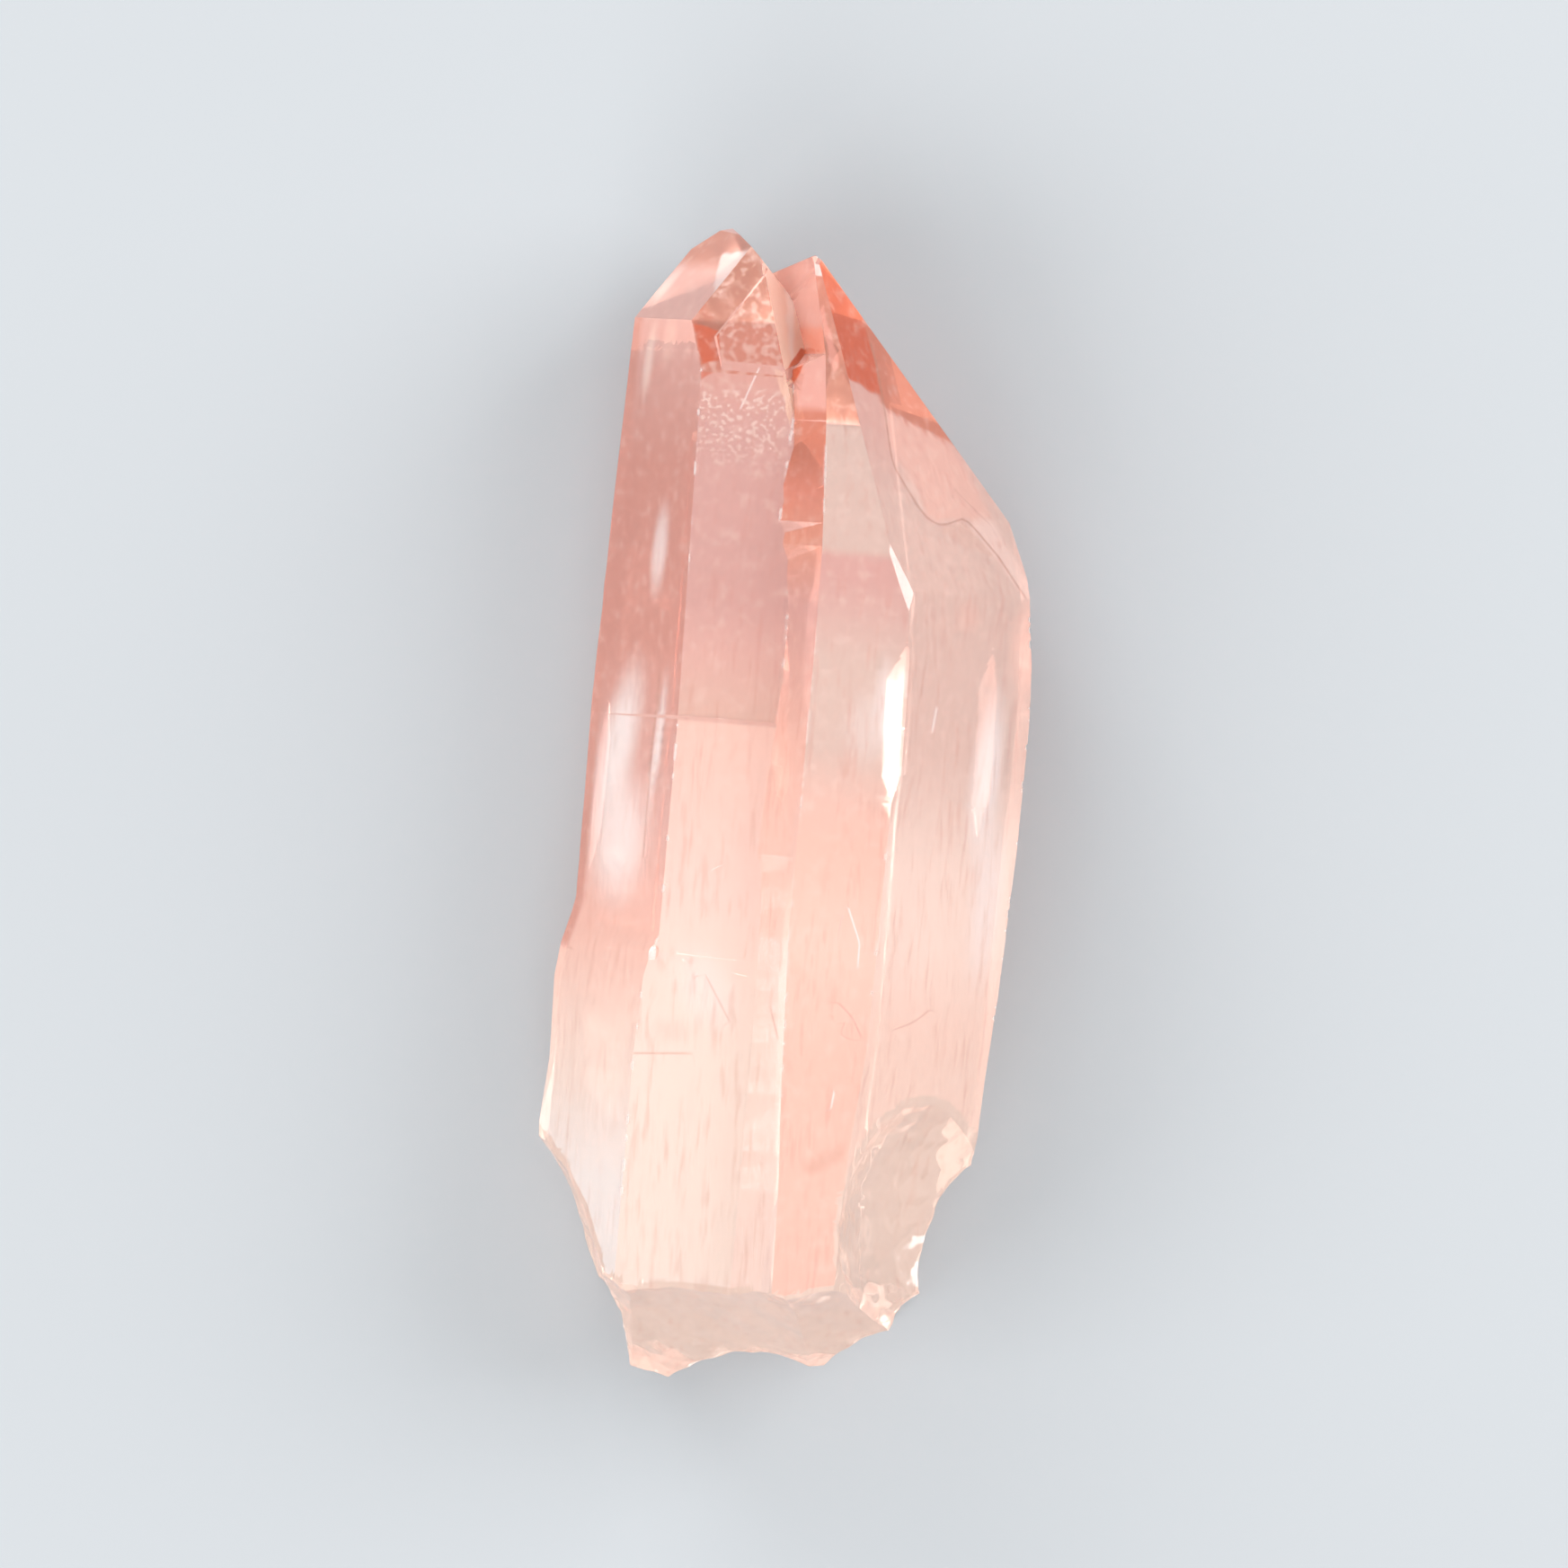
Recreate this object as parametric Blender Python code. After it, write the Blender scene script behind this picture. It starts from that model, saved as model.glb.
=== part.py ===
"""Quartz crystal: two points grown side by side as one piece, lying on its back.

The crystal's own axis runs along +Y, tips towards +Y and the broken base towards -Y. The back
prism face lies on z = 0, and the side with the groove faces up. Lengths in the tables below are
millimetres in the crystal's frame: x to the right, y along the axis, z up from the back face.
Each individual is a prism swept along its corner edges, closed off by its growth faces. The two
are joined, and then the broken base and the chips are taken out of the whole.
"""
import math

import bmesh
import bpy
from mathutils import Matrix, Vector, noise

MM = 0.001                      # metres in a millimetre

FOOT = -33.0                    # both prisms start below the broken base
TOP = 31.0                      # and end above their growth faces

# --- The left individual: its edges, each a list of (y, x, z) --------------------------------
LEFT_EDGES = {
    "outer":       [(FOOT, -10.6, 4.0), (-18.5, -11.30, 4.0), (-15.0, -11.02, 4.3),
                    (-10.8, -11.10, 4.4), (-9.1, -10.90, 4.4), (-7.4, -10.45, 4.5),
                    (-6.6, -10.30, 4.5), (4.0, -10.28, 4.4), (14.5, -9.95, 5.0),
                    (23.5, -9.60, 5.7), (TOP, -9.60, 5.7)],
    "front_left":  [(FOOT, -6.75, 11.7), (-14.4, -6.65, 12.1), (-10.4, -6.45, 12.2),
                    (-9.0, -6.10, 12.5), (-8.2, -5.80, 12.5), (2.9, -5.72, 12.4),
                    (3.1, -5.72, 12.22), (14.0, -5.82, 12.2), (TOP, -6.02, 12.1)],
    "front_right": [(FOOT, 0.4, 12.3), (2.9, 0.2, 12.75), (3.1, 0.2, 12.57),
                    (17.0, -0.45, 12.5), (18.7, -0.95, 12.5), (21.2, -1.60, 12.45),
                    (TOP, -1.60, 12.4)],
    "inner":       [(FOOT, 2.6, 7.4), (TOP, 1.6, 7.0)],
    "back_right":  [(FOOT, 0.6, 0.25), (TOP, 0.6, 0.25)],   # a low step at the seam in the back
    "back_left":   [(FOOT, -8.6, 0.0), (-9.0, -8.3, 0.0), (TOP, -7.4, 0.0)],
}

# --- The right individual ---------------------------------------------------------------------
SHOULDER = 12.3                 # above this the right front face leans back
LEAN = 0.26                     # fall of that face for each millimetre towards the tip
LEAN_FALL = LEAN * (TOP - SHOULDER)
RIGHT_FRONT = 15.9              # height of the right front face at its outer edge
GROOVE_HEIGHT = 15.6            # and beside the groove
GROOVE_EDGE = [(FOOT, 1.5), (-21.0, 1.35), (-16.0, 1.10), (-8.0, 0.85), (-2.6, 0.90),
               (7.2, 1.02), (SHOULDER, 1.00), (18.8, 0.70), (22.2, 0.40), (26.8, -0.55),
               (TOP, -1.40)]
GROOVE_RISE = [(FOOT, 15.3), (SHOULDER, GROOVE_HEIGHT), (TOP, GROOVE_HEIGHT - LEAN_FALL)]
# Where the groove's wall meets the left individual's front face: the wavy contact line.
CONTACT = [(FOOT, -0.70, 12.2), (-10.7, -0.62, 12.45), (-7.9, -0.72, 12.5),
           (-5.5, -0.80, 12.6), (-3.7, -1.10, 12.6), (-0.4, -0.92, 12.6), (2.9, -0.68, 12.55),
           (5.2, -0.50, 12.5), (8.0, -0.48, 12.5), (10.8, -0.70, 12.5), (13.5, -1.28, 12.5),
           (15.4, -1.20, 12.5), (18.7, -1.00, 12.45), (20.5, -1.15, 11.95),
           (22.2, -0.62, 10.5), (23.1, -0.90, 10.0), (26.0, -1.80, 8.8), (TOP, -2.8, 6.5)]
WALL_DEPTH = 1.9                # the wall runs on this much further, inside the left individual
RIGHT_EDGES = {
    "front_right": [(FOOT, 4.4, 15.2), (-19.0, 4.75, 15.6), (-13.0, 5.30, 15.9),
                    (-3.2, 5.50, 15.9), (-0.6, 5.55, 15.9), (1.0, 5.95, 15.8),
                    (6.6, 5.92, 15.8), (10.3, 5.60, RIGHT_FRONT),
                    (SHOULDER, 5.60, RIGHT_FRONT), (TOP, 5.60, RIGHT_FRONT - LEAN_FALL)],
    "outer":       [(FOOT, 10.6, 6.9), (-14.6, 11.55, 6.9), (-10.1, 11.90, 6.7),
                    (-2.2, 12.30, 6.6), (4.4, 12.42, 6.4), (7.1, 12.30, 6.6),
                    (10.3, 11.95, 7.2), (TOP, 11.95, 7.2)],
    "back_right":  [(FOOT, 7.6, 0.0), (4.0, 8.6, 0.0), (TOP, 7.8, 0.0)],
    "back_left":   [(FOOT, -0.4, 0.0), (TOP, -0.4, 0.0)],
}

# --- A growth layer on the front of the left tip -----------------------------------------------
LAYER_FOOT = 15.0
LAYER_EDGES = {
    "outer":       [(LAYER_FOOT, -6.4, 9.4), (TOP, -6.8, 9.4)],
    "front_left":  [(LAYER_FOOT, -4.70, 12.15), (22.0, -4.90, 12.15), (TOP, -5.10, 12.15)],
    "front_right": [(LAYER_FOOT, -0.90, 12.40), (18.7, -1.05, 12.42), (21.2, -1.60, 12.42),
                    (TOP, -1.60, 12.42)],
    "inner":       [(LAYER_FOOT, 0.3, 9.0), (TOP, 0.3, 9.0)],
    "deep_right":  [(LAYER_FOOT, -1.5, 6.0), (TOP, -1.5, 6.0)],
    "deep_left":   [(LAYER_FOOT, -5.0, 6.0), (TOP, -5.0, 6.0)],
}

# --- Hollows in the back face, where growth lagged: long notches that narrow to their ends -----
BELOW = -0.5                    # the notches open this far below the back face
BACK_HOLLOWS = [
    {"left":  [(-2.4, 6.15, BELOW), (0.4, 5.1, BELOW), (5.8, 4.9, BELOW), (8.2, 5.9, BELOW)],
     "crest": [(-2.4, 6.30, -0.3), (0.4, 6.2, 1.5), (5.8, 6.0, 1.7), (8.2, 6.1, -0.3)],
     "right": [(-2.4, 6.45, BELOW), (0.4, 7.1, BELOW), (5.8, 7.0, BELOW), (8.2, 6.3, BELOW)]},
    {"left":  [(-6.4, -7.20, BELOW), (-3.0, -7.4, BELOW), (1.6, -7.2, BELOW), (4.2, -6.8, BELOW)],
     "crest": [(-6.4, -7.05, -0.3), (-3.0, -6.8, 1.2), (1.6, -6.7, 1.3), (4.2, -6.6, -0.3)],
     "right": [(-6.4, -6.90, BELOW), (-3.0, -6.1, BELOW), (1.6, -6.0, BELOW), (4.2, -6.4, BELOW)]},
]

# --- Growth faces: (turn about the axis, rise of the normal, point on the face) ----------------
# Turn 0 faces up, 90 faces right. Rise is the normal's angle above the cross-section.
RHOMB = 38.2                    # quartz rhombohedral faces stand this far off the prism
STEEP = 24.0                    # the steeper face at the front of the left tip
LEFT_FACES = [
    (-60.0, RHOMB, (-9.6, 23.5, 5.7)),          # large face over the outer left prism face
    (-4.0, STEEP, (-5.95, 20.95, 12.1)),        # front face of the left tip
    (52.0, 26.9, (-1.80, 21.2, 12.35)),         # inner face, towards the notch
    (56.0, 37.8, (-2.75, 26.3, 9.9)),           # short steep face above it
    (-105.0, 29.6, (-9.6, 23.5, 5.7)),          # back left
    (180.0, RHOMB, (-5.1, 28.5, 5.2)),          # back
    (92.0, 43.0, (-2.75, 26.35, 9.6)),          # back right, down into the notch
    (60.0, 74.0, (-5.1, 28.5, 7.4)),            # blunt cap of the tip
    (-50.0, 70.0, (-6.0, 28.25, 5.0)),          # worn corner beside the cap
]
LAYER_FACES = [
    (-4.0, STEEP, (-1.6, 21.4, 12.42)),         # front of the layer
    (-60.0, RHOMB, (-5.2, 22.8, 11.55)),        # its left side, over the step
    (52.0, 26.9, (-1.6, 21.25, 12.42)),         # its inner face
    (56.0, 37.8, (-2.80, 26.3, 10.0)),          # the steep face above that
    (92.0, 43.0, (-2.85, 26.35, 9.8)),          # and behind it
    (180.0, RHOMB, (-3.0, 26.4, 7.4)),          # back
]
RIGHT_FACES = [
    (53.5, 23.4, (5.6, 10.3, RIGHT_FRONT)),     # the big sloping face on the right
    (120.0, 43.5, (0.0, 27.15, 12.1)),          # back right
    (100.0, 20.0, (11.35, 12.4, 6.4)),          # steep corner face at the foot of those two
    (180.0, RHOMB, (-0.8, 27.0, 7.4)),          # back
    (-90.0, 66.0, (-1.0, 27.05, 10.0)),         # low top face, towards the notch
    (12.0, 56.0, (-0.3, 26.90, 11.90)),         # chip across the tip
    (28.0, 12.0, (5.15, 10.4, 15.9)),           # small corner face beside the big one
]

# --- Fractures: (centre x, y, z, radius) of the hollows broken out of the piece ----------------
BASE_HOLLOWS = [
    (-14.0, -38.5, 14.5, 14.6),
    (-3.2, -41.0, 17.0, 15.6),
    (4.5, -39.6, 1.0, 12.4),
    (-9.5, -38.4, -4.0, 13.0),
    (14.0, -37.4, 5.0, 12.8),
    (8.4, -40.9, 19.6, 16.3),
]
SIDE_HOLLOWS = [
    (14.9, -22.6, 15.4, 10.3),                  # the pale hollow low on the right
    (17.4, -25.2, 2.6, 9.5),                    # and the one behind it
    (12.6, -21.6, 5.4, 3.4),                    # a bite between them
    (-25.4, -33.0, 5.8, 20.0),                  # low on the left
]
CHIPS = [
    (-3.4, 28.3, 10.6, 1.35),                   # beside the left tip
    (-6.25, -9.2, 13.1, 0.85),                  # nick on the left front edge
    (-0.2, 27.75, 12.4, 1.15),                  # right tip
]
HOLLOW_DIVISIONS = 4            # icosphere divisions of a hollow
CHIP_DIVISIONS = 2
RIPPLE = 0.28                   # unevenness of a broken surface, in millimetres
RIPPLE_SCALE = 0.22             # ripples for each millimetre
WELD = 0.02                     # points closer than this are one point

QUARTZ_COLOUR = (0.86, 0.47, 0.38, 1.0)
QUARTZ_IOR = 1.544
QUARTZ_ROUGHNESS = 0.12


def along(track, y):
    """The values of a track at y, on the straight line between its two nearest points."""
    for low, high in zip(track, track[1:]):
        if y <= high[0]:
            part = (y - low[0]) / (high[0] - low[0])
            return [a + (b - a) * part for a, b in zip(low[1:], high[1:])]
    return list(track[-1][1:])


def right_individual_edges():
    """The right individual's six edges. The groove's wall passes through the contact line."""
    heights = sorted({point[0] for point in GROOVE_EDGE + CONTACT})
    front_left = []
    inner = []
    for y in heights:
        top = Vector((along(GROOVE_EDGE, y)[0], along(GROOVE_RISE, y)[0]))
        foot = Vector(along(CONTACT, y))
        deep = top + (foot - top) * WALL_DEPTH
        front_left.append((y, top.x, top.y))
        inner.append((y, deep.x, deep.y))
    return {"front_left": front_left, **RIGHT_EDGES, "inner": inner}


def prism(name, edges):
    """A closed prism swept along its edges, which are named in order round the section."""
    tracks = list(edges.values())
    levels = sorted({point[0] for track in tracks for point in track})
    shape = bmesh.new()
    rings = []
    for y in levels:
        corners = [along(track, y) for track in tracks]
        rings.append([shape.verts.new(Vector((x, y, z)) * MM) for x, z in corners])
    for low, high in zip(rings, rings[1:]):
        for i in range(len(low)):
            j = (i + 1) % len(low)
            shape.faces.new((low[i], low[j], high[j], high[i]))
    shape.faces.new(reversed(rings[0]))
    shape.faces.new(rings[-1])
    bmesh.ops.recalc_face_normals(shape, faces=shape.faces)
    return finish_shape(name, shape)


def finish_shape(name, shape):
    """Put a bmesh into a new object in the scene."""
    mesh = bpy.data.meshes.new(name)
    shape.to_mesh(mesh)
    shape.free()
    piece = bpy.data.objects.new(name, mesh)
    bpy.context.scene.collection.objects.link(piece)
    return piece


def face_normal(turn, rise):
    """Outward normal of a growth face, from its turn about the axis and its rise."""
    turn, rise = math.radians(turn), math.radians(rise)
    return Vector((math.cos(rise) * math.sin(turn), math.sin(rise),
                   math.cos(rise) * math.cos(turn)))


def grow_faces(piece, faces):
    """Cut a prism off at its growth faces and close each cut."""
    shape = bmesh.new()
    shape.from_mesh(piece.data)
    for turn, rise, point in faces:
        parts = shape.verts[:] + shape.edges[:] + shape.faces[:]
        cut = bmesh.ops.bisect_plane(shape, geom=parts, plane_co=Vector(point) * MM,
                                     plane_no=face_normal(turn, rise), clear_outer=True)
        rim = [item for item in cut["geom_cut"] if isinstance(item, bmesh.types.BMEdge)]
        if rim:
            bmesh.ops.edgeloop_fill(shape, edges=rim)
    bmesh.ops.recalc_face_normals(shape, faces=shape.faces)
    shape.to_mesh(piece.data)
    shape.free()


def hollow(name, centre, radius, divisions, ripple):
    """A rippled ball, whose surface is what a fracture leaves behind."""
    shape = bmesh.new()
    bmesh.ops.create_icosphere(shape, subdivisions=divisions, radius=radius * MM,
                               matrix=Matrix.Translation(Vector(centre) * MM))
    middle = Vector(centre) * MM
    for vertex in shape.verts:
        outward = (vertex.co - middle).normalized()
        wave = noise.noise(vertex.co / MM * RIPPLE_SCALE)
        vertex.co += outward * ripple * wave * MM
    ball = finish_shape(name, shape)
    ball.hide_render = True
    ball.display_type = "WIRE"
    return ball


def combine(piece, other, operation):
    """Join or cut with an exact Boolean and keep the result as the piece's own mesh."""
    step = piece.modifiers.new(operation.lower(), "BOOLEAN")
    step.operation = operation
    step.solver = "EXACT"
    step.object = other
    seen = piece.evaluated_get(bpy.context.evaluated_depsgraph_get())
    result = bpy.data.meshes.new_from_object(seen)
    piece.modifiers.remove(step)
    piece.data = result
    bpy.data.objects.remove(other)


def tidy_mesh(piece):
    """Weld doubled points and split the faces into triangles."""
    shape = bmesh.new()
    shape.from_mesh(piece.data)
    bmesh.ops.remove_doubles(shape, verts=shape.verts, dist=WELD * MM)
    bmesh.ops.dissolve_degenerate(shape, edges=shape.edges, dist=WELD * MM)
    bmesh.ops.triangulate(shape, faces=shape.faces)
    bmesh.ops.recalc_face_normals(shape, faces=shape.faces)
    shape.to_mesh(piece.data)
    shape.free()


def centre_on_back(piece):
    """Move the mesh so that the origin is the middle of its box, on the back face."""
    points = [vertex.co for vertex in piece.data.vertices]
    low = Vector([min(point[i] for point in points) for i in range(3)])
    high = Vector([max(point[i] for point in points) for i in range(3)])
    middle = (low + high) / 2
    piece.data.transform(Matrix.Translation((-middle.x, -middle.y, -low.z)))


def quartz_material():
    """Clear, warm pink quartz."""
    material = bpy.data.materials.new("quartz")
    material.use_nodes = True
    shader = material.node_tree.nodes["Principled BSDF"]
    shader.inputs["Base Color"].default_value = QUARTZ_COLOUR
    shader.inputs["Roughness"].default_value = QUARTZ_ROUGHNESS
    shader.inputs["Metallic"].default_value = 0.0
    shader.inputs["IOR"].default_value = QUARTZ_IOR
    shader.inputs["Transmission Weight"].default_value = 1.0
    material.diffuse_color = QUARTZ_COLOUR
    return material


def build():
    """Make the crystal."""
    for old in list(bpy.data.objects):
        bpy.data.objects.remove(old)
    crystal = prism("crystal", LEFT_EDGES)
    grow_faces(crystal, LEFT_FACES)
    right = prism("right_individual", right_individual_edges())
    grow_faces(right, RIGHT_FACES)
    layer = prism("growth_layer", LAYER_EDGES)
    grow_faces(layer, LAYER_FACES)
    combine(crystal, layer, "UNION")
    combine(crystal, right, "UNION")
    for x, y, z, radius in BASE_HOLLOWS + SIDE_HOLLOWS:
        ball = hollow("hollow", (x, y, z), radius, HOLLOW_DIVISIONS, RIPPLE)
        combine(crystal, ball, "DIFFERENCE")
    for x, y, z, radius in CHIPS:
        ball = hollow("chip", (x, y, z), radius, CHIP_DIVISIONS, 0.0)
        combine(crystal, ball, "DIFFERENCE")
    for edges in BACK_HOLLOWS:
        combine(crystal, prism("back_hollow", edges), "DIFFERENCE")
    tidy_mesh(crystal)
    centre_on_back(crystal)
    crystal.data.materials.clear()
    crystal.data.materials.append(quartz_material())


build()
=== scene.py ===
"""Looks of the quartz crystal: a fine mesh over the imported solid, its material, floor and light."""

import math

import bmesh
import bpy
import numpy as np
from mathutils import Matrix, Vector, noise


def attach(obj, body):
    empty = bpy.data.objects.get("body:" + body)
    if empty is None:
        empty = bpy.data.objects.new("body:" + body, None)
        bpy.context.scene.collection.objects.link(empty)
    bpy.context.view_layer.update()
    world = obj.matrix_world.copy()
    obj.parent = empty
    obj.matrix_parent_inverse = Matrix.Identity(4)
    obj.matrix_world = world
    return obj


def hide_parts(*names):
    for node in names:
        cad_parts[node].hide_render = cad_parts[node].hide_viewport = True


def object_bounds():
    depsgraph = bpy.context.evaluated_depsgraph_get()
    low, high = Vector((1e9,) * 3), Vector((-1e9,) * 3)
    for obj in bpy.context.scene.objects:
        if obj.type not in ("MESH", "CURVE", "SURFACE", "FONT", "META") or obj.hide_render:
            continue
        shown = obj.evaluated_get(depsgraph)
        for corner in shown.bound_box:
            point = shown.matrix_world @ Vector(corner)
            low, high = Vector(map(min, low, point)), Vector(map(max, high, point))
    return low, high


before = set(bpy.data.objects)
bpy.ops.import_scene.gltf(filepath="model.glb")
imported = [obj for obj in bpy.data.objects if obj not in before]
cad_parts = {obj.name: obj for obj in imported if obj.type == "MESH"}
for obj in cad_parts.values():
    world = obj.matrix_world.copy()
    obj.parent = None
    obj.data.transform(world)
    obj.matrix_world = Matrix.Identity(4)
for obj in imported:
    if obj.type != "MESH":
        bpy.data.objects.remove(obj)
cad_low, cad_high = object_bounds()

MM = 0.001                      # metres in a millimetre
# Sizes below are millimetres in the crystal's own frame: the row frame moved by this much.
OFFSET = Vector((0.56, -1.308, 0.0))
LEAN = math.radians(4.5)        # the crystal's axis leans this far to the right in the picture

PICTURE = 1745                  # pixels across the picture
MM_PER_PIXEL = 0.0465           # the size of one, at the reference height
CAMERA_HEIGHT = 900.0
REFERENCE_HEIGHT = 7.0          # height above the floor at which that scale holds
SENSOR = 36.0                   # width of the camera's sensor

# --- Lines along which the mesh is finer, (y, x, z). Some of them are nicked or worn -------------
LEFT_RIDGE = [(-22.0, -6.7, 11.95), (-14.4, -6.65, 12.1), (-10.4, -6.45, 12.2), (-9.0, -6.10, 12.5),
              (-8.2, -5.80, 12.5), (2.9, -5.72, 12.4), (14.0, -5.82, 12.2), (20.95, -5.95, 12.1)]
CONTACT = [(-22.0, -0.66, 12.3), (-10.7, -0.62, 12.45), (-7.9, -0.72, 12.5), (-5.5, -0.80, 12.6),
           (-3.7, -1.10, 12.6), (-0.4, -0.92, 12.6), (2.9, -0.68, 12.55), (5.2, -0.50, 12.5),
           (8.0, -0.48, 12.5), (10.8, -0.70, 12.5), (13.5, -1.28, 12.5), (15.4, -1.20, 12.5),
           (18.7, -1.00, 12.45), (20.5, -1.15, 11.95), (22.2, -0.62, 10.5), (26.0, -1.80, 8.8)]
GROOVE_EDGE = [(-22.0, 1.37, 15.4), (-16.0, 1.10, 15.42), (-8.0, 0.85, 15.45), (-2.6, 0.90, 15.5),
               (7.2, 1.02, 15.58), (12.3, 1.00, 15.6), (18.8, 0.70, 13.9), (22.2, 0.40, 13.0),
               (26.8, -0.55, 11.8)]
RIGHT_RIDGE = [(-19.0, 4.75, 15.6), (-13.0, 5.30, 15.9), (-3.2, 5.50, 15.9), (-0.6, 5.55, 15.9),
               (1.0, 5.95, 15.8), (6.6, 5.92, 15.8), (10.3, 5.60, 15.9)]
TIP_RIDGE = [(10.3, 5.60, 15.9), (26.8, -0.1, 12.1)]
RIGHT_OUTLINE = [(-14.6, 11.55, 6.9), (-10.1, 11.90, 6.7), (-2.2, 12.30, 6.6), (4.4, 12.42, 6.4),
                 (7.1, 12.30, 6.6), (10.3, 11.95, 7.2), (12.4, 11.35, 6.4)]
RIDGES = [LEFT_RIDGE, CONTACT, GROOVE_EDGE, RIGHT_RIDGE, TIP_RIDGE, RIGHT_OUTLINE]
# How deep each line is nicked, and how much of it.
NICKED = [(RIGHT_OUTLINE, 0.05, 0.3)]
NICK_CORE, NICK_REACH = 0.03, 0.16              # a nick is whole this near its line, gone past that
NICK_STRETCH = (0.3, 1.0, 0.3)                  # nicks follow each other along the crystal
NICK_SCALE, WEAR_SCALE = 2.9, 1.1               # how closely nicks and worn stretches follow
NICK_FINER, NICK_WEAKER = 2.5, 0.5              # a second noise is so much finer and weaker
NICK_START, NICK_WHOLE, NICK_EASE = 0.35, 0.75, 0.6     # noise that makes a nick; a share eases both
WORN_FROM = 0.4                                 # nearness at which a worn stretch starts
# Balls whose surfaces are the broken ones, as in the CAD: (middle x, y, z, radius).
HOLLOWS = [(-14.0, -38.5, 14.5, 14.6), (-3.2, -41.0, 17.0, 15.6), (4.5, -39.6, 1.0, 12.4),
           (-9.5, -38.4, -4.0, 13.0), (14.0, -37.4, 5.0, 12.8), (8.4, -40.9, 19.6, 16.3),
           (14.9, -22.6, 15.4, 10.3), (17.4, -25.2, 2.6, 9.5), (12.6, -21.6, 5.4, 3.4),
           (-25.4, -33.0, 5.8, 20.0)]
BREAK_NEAR, BREAK_FAR = 0.16, 0.34              # a point is broken this near a ball, whole past that
ETCHED = ((-5.9, -1.1), (14.8, 19.6))           # x and y range of the etched patch
MOTTLED = ((-6.0, -1.4), (21.0, 26.6))          # the same for the left tip's mottled front

# --- Colours ------------------------------------------------------------------------------------
PALETTE = {
    "white": (1.0, 0.97, 0.95), "milk": (1.0, 0.84, 0.75), "pale": (1.0, 0.78, 0.70),
    "petal": (1.0, 0.74, 0.64), "cream": (1.0, 0.68, 0.58), "shell": (0.98, 0.60, 0.50),
    "peach": (1.0, 0.68, 0.52), "sand": (0.80, 0.61, 0.535), "fawn": (0.73, 0.58, 0.51),
    "beige": (0.80, 0.55, 0.46),
    "rose": (0.81, 0.50, 0.44), "blush": (0.77, 0.43, 0.37), "pink": (0.72, 0.43, 0.39),
    "salmon": (0.68, 0.315, 0.25), "apricot": (0.84, 0.38, 0.27), "coral": (0.80, 0.28, 0.19),
    "ember": (0.58, 0.19, 0.115), "terra": (0.66, 0.23, 0.145), "rust": (0.69, 0.13, 0.05),
    "clay": (0.60, 0.23, 0.155), "copper": (0.66, 0.25, 0.175), "umber": (0.42, 0.175, 0.12),
    "brown": (0.50, 0.26, 0.19), "oyster": (0.86, 0.69, 0.60),
}
LOW_END, HIGH_END = -26.0, 29.0
# The colours of each growth face along the crystal: (y, colour).
# Part of this is painted light: the faces turn milky white towards the base, where the crystal is
# brightly lit.
ALONG = {
    "outer_left": [(-26, "white"), (-21, "white"), (-16, "milk"), (-12, "petal"), (-8, "shell"),
                   (-2, "rose"), (7, "salmon"), (16, "salmon"), (21, "blush"), (23.5, "rose")],
    "front_left": [(-26, "milk"), (-10, "milk"), (-6, "pale"), (2.85, "cream"), (3.0, "beige"),
                   (6.5, "rose"), (9, "pink"), (18, "pink"), (20.5, "blush")],
    "wall": [(-22, "pale"), (-13, "milk"), (-8.1, "pale"), (-7.7, "petal"), (2, "shell"),
             (9, "pink"), (12.5, "apricot"), (15, "coral"), (17, "ember"), (19.1, "ember"),
             (19.5, "blush"), (22.1, "blush"), (22.3, "coral"), (23.4, "coral"), (23.7, "blush")],
    "front_right": [(-22, "shell"), (-14, "shell"), (-8, "cream"), (-3, "shell"), (2, "fawn"),
                    (6.5, "fawn"), (10.8, "pink"), (11.8, "pink"), (12.3, "fawn")],
    "lean": [(12.3, "fawn"), (18.5, "fawn"), (18.9, "umber"), (24, "umber"), (26, "clay")],
    "right": [(-20, "petal"), (-12, "petal"), (-8, "milk"), (-4, "milk"), (2, "sand"),
              (6, "sand"), (10, "sand")],
    "slope": [(10, "sand"), (15, "sand"), (19, "rose"), (22, "rose")],
    "tip_left": [(20, "shell"), (26.0, "rose"), (26.8, "umber")],
    "tip_front": [(20, "copper"), (23.3, "copper"), (23.8, "umber"), (27, "umber")],
    "tip_inner": [(20, "peach"), (28, "cream")],
    None: [(-24, "oyster"), (-14, "oyster"), (-8, "cream"), (12, "rose"), (24, "blush")],
}
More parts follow.
